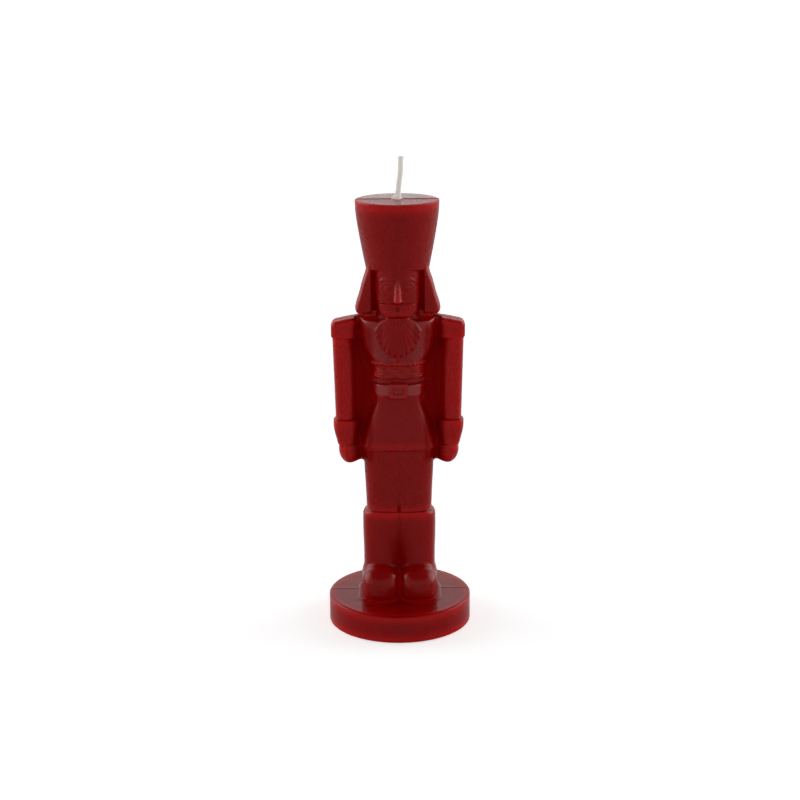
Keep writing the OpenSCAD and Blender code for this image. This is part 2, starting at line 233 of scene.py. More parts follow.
def trousers_field(x, y, z):
    """Both trouser legs in one, with a faint crease between them and a notch where they meet the boots."""
    half = curve(z, [(BOOT_TOP - 1, 11.25), (BOOT_TOP + 8, 11.6), (BOOT_TOP + 15, 11.95), (HEM_Z + 2, 12)])
    crease = 0.28 * bump(x, 0.45)
    notch = 0.55 * bump(x, 0.5) * (1 - step_up(z, BOOT_TOP + 1, BOOT_TOP + 3.6))
    body = oval(x, y - AXIS_Y, half, 8.0, 2.9) + crease + notch
    return np.maximum(body, slab(z, BOOT_TOP - 1, HEM_Z + 1.5))


# ---------- tunic ----------

def skirt_field(x, y, z):
    """The flared skirt of the tunic, with a slightly thickened hem."""
    up = BELT_Z - HEM_Z
    half = curve(z, [(HEM_Z, 12.85), (HEM_Z + 0.4 * up, 10.85), (HEM_Z + 0.66 * up, 9.45),
                     (HEM_Z + 0.83 * up, 8.3), (BELT_Z + 1, 8)])
    depth = curve(z, [(HEM_Z, 9.4), (HEM_Z + 0.4 * up, 8.2), (HEM_Z + 0.8 * up, 6.5), (BELT_Z + 1, 6)])
    rim = 0.12 * bump(z - HEM_Z - 1.1, 0.8)
    body = oval(x, y - AXIS_Y, half, depth, 3.8) - rim
    return meet(body, slab(z, HEM_Z, BELT_Z + 1), 0.8)


def belt_wall(x, y):
    """Distance in plan to the belt's outer face."""
    return oval(x, y - AXIS_Y, width_of("belt") / 2 + 0.15, 7, 2.3)


def belt_field(x, y, z):
    """A plain band with rounded edges."""
    return meet(belt_wall(x, y), slab(z, BELT_Z, BELT_TOP), 0.8)


def rounded_rect(u, v, half_u, half_v, r):
    """Distance in a plane to a rectangle with round corners."""
    a = np.abs(u) - half_u + r
    b = np.abs(v) - half_v + r
    return np.minimum(np.maximum(a, b), 0) + np.hypot(np.maximum(a, 0), np.maximum(b, 0)) - r


def buckle_field(x, y, z):
    """A frame on the front of the belt with a sunk pad in its middle."""
    stand = 0.8
    sunk = 0.8
    pad_stand = 0.4
    behind = y - AXIS_Y + 3
    mid = (BELT_Z + BELT_TOP) / 2
    outer = rounded_rect(x, z - mid, 3.2, 2.6, 0.9)
    inner = rounded_rect(x, z - mid, 1.75, 1.1, 0.4)
    face = belt_wall(x, y)
    front = np.maximum(belt_field(x, y, z), behind)
    plate = meet(meet(outer, face - stand, 0.45), -front - sunk, 0.1)
    plate = np.maximum(plate, behind)
    well = np.maximum(inner, pad_stand - face)
    return cut(plate, well, 0.35)


def neck_field(x, y, z):
    """The narrow stretch between belt and sash."""
    body = oval(x, y - AXIS_Y, 7.9, 5.7, 2.3)
    return np.maximum(body, slab(z, BELT_TOP - 1, SASH_Z + 1))


def sash_field(x, y, z):
    """A band of worn ribs that swells a little at its lower outer ends."""
    ribs = 5
    rib_h = (SASH_TOP - SASH_Z) / ribs
    worn = 0.75 + 0.25 * np.sin(1.3 * x + 2 * z)
    wave = 0.12 * worn * np.cos(2 * math.pi * (z - SASH_Z + 0.05 * np.sin(0.8 * x)) / rib_h - math.pi)
    end = 0.35 * bump(z - SASH_Z - 1.1, 1) * step_up(np.abs(x), 6.5, 8.8)
    body = oval(x, y - AXIS_Y, width_of("sash") / 2 - 0.1, 6.6, 2.5) - wave - end
    return join(meet(body, slab(z, SASH_Z, SASH_TOP + 0.5), 0.5), neck_field(x, y, z), 0.3)


def braid_field(x, y, z):
    """A rope of twisted strands: its ridges slope across the band as they go round."""
    half_w = width_of("waist_braid") / 2 + 0.05
    half_d = 7.3
    around = np.arctan2((y - AXIS_Y) / half_d, x / half_w) * (half_w + half_d) / 2
    twist = np.cos(2 * math.pi * (around / 1.65 + (z - BRAID_Z) / 2.6))
    mid = (BRAID_Z + BODICE_Z) / 2
    knob = 0.2 * step_up(np.abs(x), half_w - 1.6, half_w - 0.4)
    inner = oval(x, y - AXIS_Y, half_w - 0.9, half_d - 0.9, 2.4)
    ring = np.hypot(inner, (z - mid) * 0.92) - 0.92 - knob
    core = np.maximum(inner, slab(z, BRAID_Z, BODICE_Z))
    return np.minimum(ring - 0.09 * twist, core)


# Half width and half depth of the bodice at shares of its height
BODICE_WIDTHS = [(0, 9.55), (0.2, 11.25), (0.5, 12.35), (0.85, 12.75), (1.05, 12.75)]
BODICE_DEPTHS = [(0, 7.1), (0.25, 8.4), (0.55, 9.3), (0.85, 9.3), (1.05, 9)]


def bodice_wall(x, y, z):
    """Distance in plan to the chest, which is broadest at the shoulders."""
    t = (z - BODICE_Z) / (SHOULDER_Z - BODICE_Z)
    return oval(x, y - AXIS_Y, curve(t, BODICE_WIDTHS), curve(t, BODICE_DEPTHS), 3)


def bodice_field(x, y, z):
    """The chest between waist and shoulders."""
    return meet(bodice_wall(x, y, z), slab(z, BODICE_Z - 0.5, SHOULDER_Z), 0.7)


def collar_field(x, y, z):
    """The neck's ring, which narrows upwards, with the top of the shoulders."""
    top = CHIN_Z + 1
    half = 9.3 - 0.7 * (z - SHOULDER_Z)
    body = oval(x, y - AXIS_Y, np.clip(half, 6.5, 9.4), 7.6, 2.3)
    return np.minimum(meet(body, slab(z, SHOULDER_Z - 1, top), 0.5), shoulder_field(x, y, z))


# ---------- arms ----------

SHOULDER_X = 14.2        # where the level shoulder ends and the slope of the epaulette starts


def shoulder_lid(x, z):
    """Height over the sloping top of shoulders and epaulettes."""
    return z - (SHOULDER_Z + 0.35) + 0.21 * (np.abs(x) - SHOULDER_X)


def epaulette_field(x, y, z, side):
    """A cap over the arm with a sloping lid and rounded edges."""
    low = z_span("epaulette_left")[0]
    outer = BOX["epaulette_left"][1][0] - 0.3
    half = (outer - SHOULDER_X) / 2
    u = side * x
    plan = rounded_rect(u - SHOULDER_X - half, y - AXIS_Y, half, 4.4, 1.9)
    lid = z - (SHOULDER_Z + 0.35) + 0.21 * (u - SHOULDER_X)
    return meet(meet(plan, lid, 1.6), low + 0.3 - z, 0.9)


def arm_x(z):
    """Distance of the sleeve's axis from the figure's, which shrinks a little towards the cuff."""
    return 19.15 - 0.75 * (z_span("epaulette_left")[0] - z) / 28


def sleeve_field(x, y, z, side):
    """An upright arm, a little deeper than wide."""
    low = z_span("sleeve_left")[0] - 1
    high = z_span("epaulette_left")[0] + 1
    body = oval(side * x - arm_x(z) + 0.08, y - AXIS_Y, 3.4, 3.8, 2.3)
    return np.maximum(body, slab(z, low, high))


def cuff_field(x, y, z, side):
    """A cuff that widens upwards like a cup."""
    low, high = z_span("cuff_left")
    half = curve(z, [(low - 1, 3.15), (low + 2, 3.65), (low + 5.5, 4.35), (high - 1.5, 4.5), (high + 1, 4.4)])
    centre = curve(z, [(low - 1, 17.7), (low + 5, 18), (high + 1, 18.15)])
    body = oval(side * x - centre, y - AXIS_Y, half, half + 0.25, 2.6)
    return meet(body, slab(z, low, high), 0.8)


def hand_field(x, y, z, side):
    """A rounded fist with a thumb along its inner front."""
    low, high = z_span("hand_left")
    u = side * x
    palm = ellipsoid(u - 17.1, y - AXIS_Y + 0.3, z - high + 1.4, 3.75, 4, 5)
    thumb_root = (14.9, AXIS_Y - 2.2, high + 0.5)
    thumb_tip = (15.4, AXIS_Y - 3.1, high - 2.4)
    thumb = capsule(u, y, z, thumb_root, thumb_tip, 1.1, 0.9)
    return np.maximum(join(palm, thumb, 0.7), z - high - 0.8)


def web_field(x, y, z, side):
    """The flat of wax that closes the gap between arm and body, with a seam of flash down its face."""
    low = BOX["hand_left"][0][2] + 1.2
    high = SHOULDER_Z - 1
    u = side * x
    seam_u = curve(z, [(low, 12.6), (HEM_Z + 4, 12.8), (BELT_TOP, 11.4), (SASH_TOP, 11.7),
                       (BODICE_Z + 6, 13.4), (high, 14.3)])
    thick = np.minimum(0.4 + 0.52 * np.hypot(u - seam_u, 0.4), 3.2) + 0.2 * bump(u - seam_u, 0.22)
    body = np.maximum(np.abs(y - AXIS_Y) - thick, slab(u, 6, 18))
    return meet(body, slab(z, low, high), 0.4)


def shoulder_field(x, y, z):
    """The top of the shoulders, which carries the epaulettes' slope in to the neck behind the bodice."""
    half_w = 15.5
    half_d = 2.2
    deep = 4
    bar = np.maximum(np.abs(y - AXIS_Y - 0.9) - half_d, np.abs(x) - half_w)
    return np.maximum(meet(bar, shoulder_lid(x, z), 0.8), SHOULDER_Z - deep - z)


# ---------- head ----------

# Half width of the face at heights over the chin
JAW = [(CHIN_Z - 1, 3.6), (CHIN_Z + 0.3, 4.6), (CHIN_Z + 1.5, 5.9), (CHIN_Z + 3.6, 7), (CHIN_Z + 6, 7.6),
       (CHIN_Z + 9, 7.9), (RIM_Z + 1, 8)]


def head_field(x, y, z):
    """A round head with flat cheeks and a jaw that narrows to the chin."""
    wall = np.hypot(x, y - HEAD_Y) - HEAD_R
    jaw = np.abs(x) - curve(z, JAW)
    cheek = meet(wall, 0.8 * jaw, 0.7)
    return np.maximum(meet(cheek, CHIN_Z - z, 0.9), z - RIM_Z - 1)


EYE_X = 3.5              # distance of each eye from the middle of the face
EYE_Z = RIM_Z - 6.3


def face_only(field, y):
    """Only the part of a field on the front of the head."""
    return np.maximum(field, y - HEAD_Y + 1.5)


def eye_field(x, y, z, side):
    """A flat eyeball with a faint ring of lids round it."""
    base = head_field(x, y, z)
    u = side * x - EYE_X
    v = z - EYE_Z
    ring = np.hypot(u / 1.55, v / 1.3)
    ball = 0.32 * (1 - ring ** 2)
    lid = 0.17 * bump(ring - 1.3, 0.22) * (0.6 + 0.4 * np.clip(u + v, -1, 1))
    skirt = np.maximum(lid, 0.02) - 0.6 * step_up(ring, 1.5, 1.9)
    return face_only(layer(base, np.maximum(ball, skirt)), y)


def eyebrow_field(x, y, z, side):
    """A low arched ridge that fades out at both ends."""
    base = head_field(x, y, z)
    u = side * x
    arch = EYE_Z + 3.4 - 0.09 * (u - 3) ** 2 - 0.02 * np.maximum(u - 3, 0) ** 3
    ends = step_up(u, 1.3, 2.3) * (1 - step_up(u, 5.8, 6.8))
    rise = 0.32 * bump(z - arch, 0.62) * ends - 0.05
    return face_only(layer(base, rise), y)


def nose_field(x, y, z):
    """A wedge that widens and stands out further towards its flat underside."""
    top = EYE_Z + 2.3
    bottom = CHIN_Z + 5.15
    t = np.clip((top - z) / (top - bottom), 0, 1)
    half = 0.75 + 0.75 * t
    rise = 0.1 + 2.2 * t ** 1.1
    wedge = oval(x, y - FACE_Y - 0.6, half, rise + 0.6, 2.7)
    return face_only(meet(wedge, slab(z, bottom, top + 0.5), 0.3), y)


def moustache_field(x, y, z):
    """A bulge over the lower face with a flat top edge, and the curled ridges of the moustache on it."""
    base = head_field(x, y, z)
    u = np.abs(x)
    top = CHIN_Z + 4.6 + 0.25 * bump(u - 1.6, 0.8)
    shelf = 1 - step_up(z, top - 0.45, top + 0.1)
    side = 1 - step_up(u, 6, 7.4)
    ridge_z = top - 1.05 - 0.28 * np.sin(0.9 * (u - 1.2))
    ridge = 0.26 * bump(z - ridge_z, 0.4) * step_up(u, 0.9, 1.6) * (1 - step_up(u, 5, 6.4))
    under = 0.12 * bump(z - ridge_z + 0.95, 0.4) * step_up(u, 1, 2) * (1 - step_up(u, 4.4, 6))
    mouth = 0.85 * bump(x, 0.62) * bump(z - CHIN_Z - 2.3, 0.55)
    cleft = 0.3 * bump(x, 0.4) * bump(z - CHIN_Z - 1, 0.8)
    rise = 0.75 * shelf * side + ridge - under - mouth - cleft - 0.04
    return face_only(layer(base, rise), y)


# The locks on one half of the beard, from the sides inwards: where each starts and ends as shares of the
# beard's half width and length, its half width in millimetres and how high it stands
BEARD_LOCKS = [
    (0.34, 0.06, 1.02, 0.43, 1.3, 0.75),
    (0.22, 0.08, 1.0, 0.54, 1.4, 0.9),
    (0.16, 0.12, 0.88, 0.66, 1.3, 1.0),
    (0.1, 0.16, 0.74, 0.78, 1.3, 1.1),
    (0.05, 0.2, 0.54, 0.88, 1.35, 1.2),
    (0, 0.26, 0.28, 0.96, 1.4, 1.3),
    (0, -0.08, 0, 1.03, 1.35, 1.4),
]


def lock_rise(x, z, start, end, half, rise):
    """Height of one rounded lock that is widest past its middle and blunt at its end."""
    dx, dz = end[0] - start[0], end[1] - start[1]
    length = math.hypot(dx, dz)
    t = ((x - start[0]) * dx + (z - start[1]) * dz) / length ** 2
    s = ((x - start[0]) * dz - (z - start[1]) * dx) / length
    span = np.clip(t, 0, 1)
    local = half * np.sqrt(np.clip(1 - np.abs(2 * span ** 1.2 - 1) ** 2.6, 0, 1)) + 0.05
    outside = np.maximum(np.maximum(-t, t - 1), 0) * length
    inset = (local - np.abs(s)) / 0.5
    edge = np.where(inset > 0, 1 - np.clip(1 - inset, 0, 1) ** 2, 2 * np.maximum(inset, -2))
    crown = 0.28 * (1 - np.clip(np.abs(s) / half, 0, 1) ** 1.5)
    return (rise - 0.25) * edge + crown - 2 * outside


def beard_rise(x, z):
    """Height of the beard over the chest: the tallest of its locks, and the broad root they spring from."""
    half_w = width_of("beard") / 2
    low, high = z_span("beard")
    length = high - low
    u = np.abs(x)
    rise = np.full(np.shape(x), -3.0)
    for start_u, start_v, end_u, end_v, half, tall in BEARD_LOCKS:
        start = (start_u * half_w, high - start_v * length)
        end = (end_u * half_w, high - end_v * length)
        rise = np.maximum(rise, lock_rise(u, z, start, end, half, tall))
    root = 0.95 * (1 - (u / 4.1) ** 6)
    root = root - 0.3 * np.maximum(high - 2 - z, 0) ** 2 - np.maximum(z - high - 0.5, 0)
    return np.maximum(rise, root)


def beard_field(x, y, z):
    """The beard lies on the chest, and its root on the chin."""
    chest = bodice_wall(x, y, np.minimum(z, SHOULDER_Z - 1))
    base = join(chest, np.hypot(x, y - HEAD_Y) - HEAD_R, 1)
    rise = np.maximum(beard_rise(x, z), -1.5)
    body = layer(base, rise, 0.7)
    return meet(np.maximum(body, y - HEAD_Y + 3), z - CHIN_Z + 0.4, 0.3)


def hair_field(x, y, z):
    """Two lobes of hair, full at their lower ends, with a thin lip beneath, joined behind the head."""
    low = HAIR_Z + 0.4
    up = RIM_Z - low
    half = curve(z, [(low - 1, 14.3), (low + 1, 14.6), (low + 3, 14.35), (low + 0.45 * up, 13),
                     (low + 0.7 * up, 11.9), (RIM_Z - 1.5, 10.75), (RIM_Z + 2, 10)])
    lobes = oval(x, y - AXIS_Y, half, np.minimum(half, 12.5), 3)
    set_back = 2.3 * (1 - step_up(np.abs(x), 7.6, 9.2))
    front = -(y + 4.4 - set_back) - 0.1 * (np.abs(x) - 11)
    lobes = meet(lobes, front, 1)
    lobes = meet(lobes, low + 0.6 - z, 1.5)
    lip = meet(oval(x, y - AXIS_Y, 12.6, 10.5, 2.4), slab(z, low - 0.4, low + 2), 0.5)
    lip = np.maximum(lip, -(y + 3.6))
    face_gap = np.hypot(x, y - HEAD_Y) - HEAD_R + 0.3
    return np.maximum(cut(join(lobes, lip, 0.3), face_gap, 0.3), z - RIM_Z - 1)


# ---------- hat ----------

def rim_plane(x, y, z):
    """Height over the hat's sloping rim, which dips towards the back of the head."""
    slope = math.atan2(RIM_Z - z_span("hat")[0], 22)
    front = AXIS_Y - 10.9
    return (z - RIM_Z) * math.cos(slope) + (y - front) * math.sin(slope)


def hat_field(x, y, z):
    """A tall hat that widens upwards, with a small mound of wax round the wick."""
    r = np.hypot(x, y - AXIS_Y)
    up = HAT_TOP - RIM_Z
    half = curve(z, [(RIM_Z - 5, 9.9), (RIM_Z, 10.9), (RIM_Z + 0.45 * up, 12.8), (RIM_Z + 0.8 * up, 13.95),
                     (HAT_TOP + 1, 14.25)])
    body = meet(r - half, z - HAT_TOP, 0.6)
    body = meet(body, -rim_plane(x, y, z) - 0.25, 0.5)
    mound = meet(r - 1.5 + 0.8 * (z - HAT_TOP), slab(z, HAT_TOP - 1, HAT_TOP + 0.5), 0.2)
    return join(body, mound, 0.5)


# ---------- the wax elements ----------

def sided(field, side):
    """The field of an element that comes in two mirrored copies, for one side."""
    def one_side(x, y, z):
        return field(x, y, z, side)
    return one_side


def half_of(field, side):
    """The part of a field on one side of the figure's middle plane."""
    def one_half(x, y, z):
        return np.maximum(field(x, y, z), -side * x)
    return one_half


def mirrored(node, field, fillet, grid_step):
    """The entries of an element that comes in two mirrored copies."""
    return [(node + "_right", sided(field, -1), fillet, grid_step),
            (node + "_left", sided(field, 1), fillet, grid_step)]


# Each entry: its node or nodes, field, fillet with what comes before it, grid step.
# Two nodes to one field are its right and left halves.
ELEMENTS = [
    ("foot", foot_field, 0, STEP),
    ("boot_right boot_left", boots_field, 0.5, STEP),
    ("trouser_right trouser_left", trousers_field, 0.25, STEP),
    ("tunic_skirt", skirt_field, 0.4, STEP),
    ("belt", belt_field, 0.3, FINE_STEP),
    ("belt_buckle", buckle_field, 0.2, FINE_STEP),
    ("sash", sash_field, 0.3, FINE_STEP),
    ("waist_braid", braid_field, 0.15, FINE_STEP),
    ("bodice", bodice_field, 0.3, STEP),
    ("collar", collar_field, 0.6, STEP),
    *mirrored("epaulette", epaulette_field, 0.4, STEP),
    *mirrored("sleeve", sleeve_field, 0.35, STEP),
    *mirrored("cuff", cuff_field, 0.35, STEP),
    *mirrored("hand", hand_field, 0.3, STEP),
    *mirrored("arm_web", web_field, 1.2, STEP),
    ("head", head_field, 0.5, FINE_STEP),
    *mirrored("eye", eye_field, 0.15, FINE_STEP),
    *mirrored("eyebrow", eyebrow_field, 0.2, FINE_STEP),
    ("nose", nose_field, 0.5, FINE_STEP),
    ("moustache", moustache_field, 0.2, FINE_STEP),
    ("beard", beard_field, 0.2, FINE_STEP),
    ("hair", hair_field, 0.3, STEP),
    ("hat", hat_field, 0.3, STEP),
]
NAMES = []
OWN = {}
PIECE_STEP = {}
for nodes, element_field, _, grid_step in ELEMENTS:
    pair = nodes.split()
    NAMES += pair
    PIECE_STEP.update({node: grid_step for node in pair})
    if len(pair) == 2:
        OWN[pair[0]] = half_of(element_field, -1)
        OWN[pair[1]] = half_of(element_field, 1)
    else:
        OWN[nodes] = element_field

REACH = 2.5          # how far a node's element may stand outside its CAD box
WIDE_REACH = {"collar": 7}    # the collar's field takes in the top of the shoulders
SINK = 0.3           # how fast a piece dives under its neighbour's skin past the seam
OVERLAP = 0.7        # how far past the seam a piece goes on under that skin
SEAM_MARGIN = 2      # how near another element's box has to come for the two to share a seam
LIGHT_MARGIN = 5     # and for it to shade this one
# How much the painted glow of light within the wax counts, by the start of a node's name: a share of what its
# thinness gives, and what is added to it
GLOW = [("epaulette", 1, 0.25), ("sleeve", 1, 0.17), ("cuff", 1, 0.25), ("hand", 1, 0.25),
        ("beard", 0.3, 0), ("moustache", 0.6, 0), ("belt", 0.5, 0), ("bodice", 0.2, 0), ("tunic", 0.65, 0),
        ("hair", 0.6, 0), ("head", 0.4, 0), ("nose", 1, 0.2), ("hat", 1.15, 0.02)]
WAX_SHINE = 0.22     # specular level of the wax, and of the elements that come smoother from the mould
SHINE = {"bodice": 0.55, "waist_braid": 0.34, "sash": 0.36, "belt": 0.85, "belt_buckle": 0.42, "beard": 0.28,
         "nose": 0.4}
# how much of a hollow's painted shade counts on these
HOLLOW_SHARE = {"hair": 0.65, "head": 0.65}    # how much of a hollow's darkness counts on these
# at least this much of the valley mark on the beard, which darkens all of it and cuts its shine
BEARD_VALLEY = 0.3   # the beard's locks are duller than the open wax


def near(name, others, margin):
    """The elements whose boxes come within margin of a node's box."""
    low, high = BOX[name]
    return [n for n in others
            if all(BOX[n][0][i] - margin <= high[i] and low[i] <= BOX[n][1][i] + margin for i in range(3))]


def with_seam(d, y, z):
    """The skin with the ridge of the mould's parting seam, which stands highest on top of the hat."""
    height = 0.12 + 0.1 * step_up(z, HAT_TOP - 1, HAT_TOP)
    return d - height * bump(y - AXIS_Y, 0.28)


def skin_field(names, x, y, z):
    """The joined skin's field over the named elements."""
    whole = None
    for nodes, element_field, fillet, _ in ELEMENTS:
        if not any(node in names for node in nodes.split()):
            continue
        d = element_field(x, y, z)
        if nodes == "foot":
            d = join(d, boot_lip(x, y, z), 0.5)
        whole = d if whole is None else join(whole, d, fillet)
    return with_seam(whole, y, z)


def piece_field(name, names, x, y, z):
    """One element's closed solid: the joined skin where it is nearest, sunk and cut off past its seams."""
    whole = skin_field(names, x, y, z)
    rivals = [OWN[n](x, y, z) for n in names if n != name]
    past = (OWN[name](x, y, z) - np.minimum.reduce(rivals)) / 2
    return np.maximum(whole + SINK * np.maximum(past, 0), past - OVERLAP)


# ---------- meshing ----------

CORNERS = [(i, j, k) for i in (0, 1) for j in (0, 1) for k in (0, 1)]
EDGES = [(a, b) for a in range(8) for b in range(a + 1, 8)
         if sum(abs(CORNERS[a][i] - CORNERS[b][i]) for i in range(3)) == 1]


def surface_net(f, origin, step):
    """Vertices and quads of the zero surface of a grid of values, one vertex in each cell that it crosses."""
    inside = f < 0
    nx, ny, nz = f.shape
    count = np.zeros((nx - 1, ny - 1, nz - 1), np.int8)
    for i, j, k in CORNERS:
        count += inside[i:nx - 1 + i, j:ny - 1 + j, k:nz - 1 + k]
    cells = np.argwhere((count > 0) & (count < 8))
    index = np.full(count.shape, -1, np.int64)
    index[tuple(cells.T)] = np.arange(len(cells))
    values = np.stack([f[cells[:, 0] + i, cells[:, 1] + j, cells[:, 2] + k] for i, j, k in CORNERS], 1)
    total = np.zeros((len(cells), 3))
    hits = np.zeros(len(cells))
    for a, b in EDGES:
        va, vb = values[:, a], values[:, b]
        crossed = (va < 0) != (vb < 0)
        t = np.where(crossed, va / np.where(crossed, va - vb, 1), 0)[:, None]
        point = np.array(CORNERS[a]) * (1 - t) + np.array(CORNERS[b]) * t
        total += point * crossed[:, None]
        hits += crossed
    verts = origin + (cells + total / hits[:, None]) * step
    quads = []
    for axis in range(3):
        u, v = [(1, 2), (2, 0), (0, 1)][axis]
        size = [nx, ny, nz]
        size[axis] -= 1
        low = inside[:size[0], :size[1], :size[2]]
        high = np.take(inside, np.arange(1, f.shape[axis]), axis)
        for out_first in (False, True):
            flips = (low & ~high) if not out_first else (~low & high)
            at = np.argwhere(flips)
            at = at[(at[:, u] > 0) & (at[:, v] > 0)]
            ring = []
            for du, dv in [(1, 1), (0, 1), (0, 0), (1, 0)]:
                c = at.copy()
                c[:, u] -= du
                c[:, v] -= dv
                ring.append(index[tuple(c.T)])
            ring = np.stack(ring, 1)
            quads.append(ring[:, ::-1] if out_first else ring)
    quads = np.concatenate(quads)
    return verts, quads[(quads >= 0).all(1)]


def gradient(field, p, h=0.04):
    """Slope of a field at each point, from differences over a small distance h."""
    out = np.empty_like(p)
    for i in range(3):
        step = np.zeros(3)
        step[i] = h
        out[:, i] = field(*(p + step).T) - field(*(p - step).T)
    return out / (2 * h)


def largest_parts(verts, quads, keep_share=0.02):
    """Drops islands of the mesh that hold less than keep_share of its faces."""
    label = np.arange(len(verts))
    while True:
        low = label[quads].min(1)
        new = label.copy()
        for c in range(4):
            np.minimum.at(new, quads[:, c], low)
        new = new[new]
        if (new == label).all():
            break
        label = new
    face_label = label[quads[:, 0]]
    ids, counts = np.unique(face_label, return_counts=True)
    good = ids[counts >= keep_share * len(quads)]
    quads = quads[np.isin(face_label, good)]
    used = np.unique(quads)
    remap = np.full(len(verts), -1)
    remap[used] = np.arange(len(used))
    return verts[used], remap[quads]


def make_mesh(name, verts, quads, normals, marks):
    """A mesh object in metres with its own normals and one value per vertex for each mark."""
    mesh = bpy.data.meshes.new(name)
    mesh.vertices.add(len(verts))
    mesh.vertices.foreach_set("co", (verts * MM).astype(np.float32).ravel())
    mesh.loops.add(quads.size)
    mesh.loops.foreach_set("vertex_index", quads.astype(np.int32).ravel())
    mesh.polygons.add(len(quads))
    mesh.polygons.foreach_set("loop_start", np.arange(0, quads.size, 4, dtype=np.int32))
    mesh.polygons.foreach_set("loop_total", np.full(len(quads), 4, np.int32))
    mesh.update(calc_edges=True)
    mesh.validate()
    mesh.polygons.foreach_set("use_smooth", np.ones(len(mesh.polygons), bool))
    for mark, value in marks.items():
        attribute = mesh.attributes.new(mark, "FLOAT", "POINT")
        attribute.data.foreach_set("value", value.astype(np.float32))
    mesh.normals_split_custom_set_from_vertices(normals.astype(np.float32))
    obj = bpy.data.objects.new(name, mesh)
    bpy.context.scene.collection.objects.link(obj)
    return obj


def openness(names, p, n):
    """How hemmed in each point is by wax in front of it, and how thin the wax is behind it, from 0 to 1."""
    cavity = np.zeros(len(p))
    thin = np.zeros(len(p))
    for reach, weight in ((0.7, 0.3), (1.6, 0.4), (3.2, 0.3)):
        ahead = skin_field(names, *(p + n * reach).T)
        cavity += weight * np.clip(1 - ahead / reach, 0, 1.6)
    for reach, weight in ((3, 0.5), (6.5, 0.5)):
        behind = skin_field(names, *(p - n * reach).T)
        thin += weight * np.clip(1 + behind / reach, 0, 1)
    return np.clip(cavity, 0, 1), np.clip(thin, 0, 1)


def painted_shade_places(x, y, z, sideways):
    """Painted shade: 1 in the valleys between arms and body, in the hollow over the toes and in a strip of
    painted shadow on the foot in front of them, and 0 on all that stands out.

    The flanks of the body, which face the arms, count as far forward as the chest."""
    u = np.abs(x)
    across = step_up(u, 7.8, 9.5) * (1 - step_up(u, 15.2, 17))
    inside = np.maximum(1 - step_up(np.abs(y - AXIS_Y), 3, 6), 0.85 * step_up(sideways, 0.2, 0.6))
    upright = step_up(z, BOX["hand_left"][0][2] + 1, BOX["hand_left"][0][2] + 3)
    arms = across * inside * upright * (1 - step_up(z, SHOULDER_Z - 3, SHOULDER_Z - 1))
    front = 1 - step_up(y, AXIS_Y - 6, AXIS_Y - 4)
    shins = bump(x, 3.4) * front * bump(z - FOOT_TOP - 17, 8) * step_up(z, FOOT_TOP + 8, FOOT_TOP + 11)
    # a strip of painted shadow on the foot in front of the toes
    shade = 0.85 * bump(x, 11) * (1 - step_up(y, -17, -12)) * bump(z - FOOT_TOP, 0.6)
    return np.maximum(np.maximum(arms, shins), shade)


def mesh_piece(name, names):
    """Vertices, quads and normals of one element's closed solid, meshed on a grid and drawn to its field."""
    step = PIECE_STEP[name]
    reach = WIDE_REACH.get(name, REACH)
    low = BOX[name][0] - reach
    high = BOX[name][1] + reach
    axes = [np.arange(low[i], high[i] + step, step) for i in range(3)]
    grid = np.meshgrid(*axes, indexing="ij")
    f = piece_field(name, names, *grid)
    f[[0, -1]] = f[:, [0, -1]] = f[:, :, [0, -1]] = step
    verts, quads = surface_net(f, low, step)
    verts, quads = largest_parts(verts, quads)

    def mine(x, y, z):
        return piece_field(name, names, x, y, z)

    def skin(x, y, z):
        return skin_field(names, x, y, z)

    for _ in range(3):
        g = gradient(mine, verts)
        move = mine(*verts.T)[:, None] * g / np.maximum((g * g).sum(1), 0.2)[:, None]
        size = np.linalg.norm(move, axis=1)[:, None]
        verts = verts - move * np.minimum(1, 0.5 * step / np.maximum(size, 1e-9))
    on_skin = np.abs(skin(*verts.T)) < 0.12
    normals = np.where(on_skin[:, None], gradient(skin, verts), gradient(mine, verts))
    normals /= np.maximum(np.linalg.norm(normals, axis=1), 1e-6)[:, None]
    return verts, quads, normals


def light_marks(name, verts, normals):
    """Values at each vertex that the wax's material reads: hollows and valleys for its painted shade,
    thinness for its painted glow, and shine.
    """
    cavity, thin = openness(near(name, NAMES, LIGHT_MARGIN), verts, normals)
    cavity = HOLLOW_SHARE.get(name, 1) * cavity
    for start, share, extra in GLOW:
        if name.startswith(start):
            thin = share * thin + extra
    if name == "hat":
        thin = thin * step_up(verts[:, 2], RIM_Z + 5, HAT_TOP - 4)
    # painted shade in the valleys, over the toes and on the foot in front of them
    valley = painted_shade_places(*verts.T, np.abs(normals[:, 0]))
    if name == "beard":
        valley = np.maximum(valley, BEARD_VALLEY)
    shine = np.full(len(verts), SHINE.get(name, WAX_SHINE))
    return {"cavity": cavity, "thin": thin, "valley": valley, "shine": shine}


def wax_piece(name):
    """One element's object, with its material, in place of its CAD node."""
    verts, quads, normals = mesh_piece(name, near(name, NAMES, SEAM_MARGIN))
    obj = make_mesh("wax_" + name, verts, quads, normals, light_marks(name, verts, normals))
    obj.data.materials.append(WAX)
    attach(obj, "candle")
    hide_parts(name)


# ---------- materials ----------

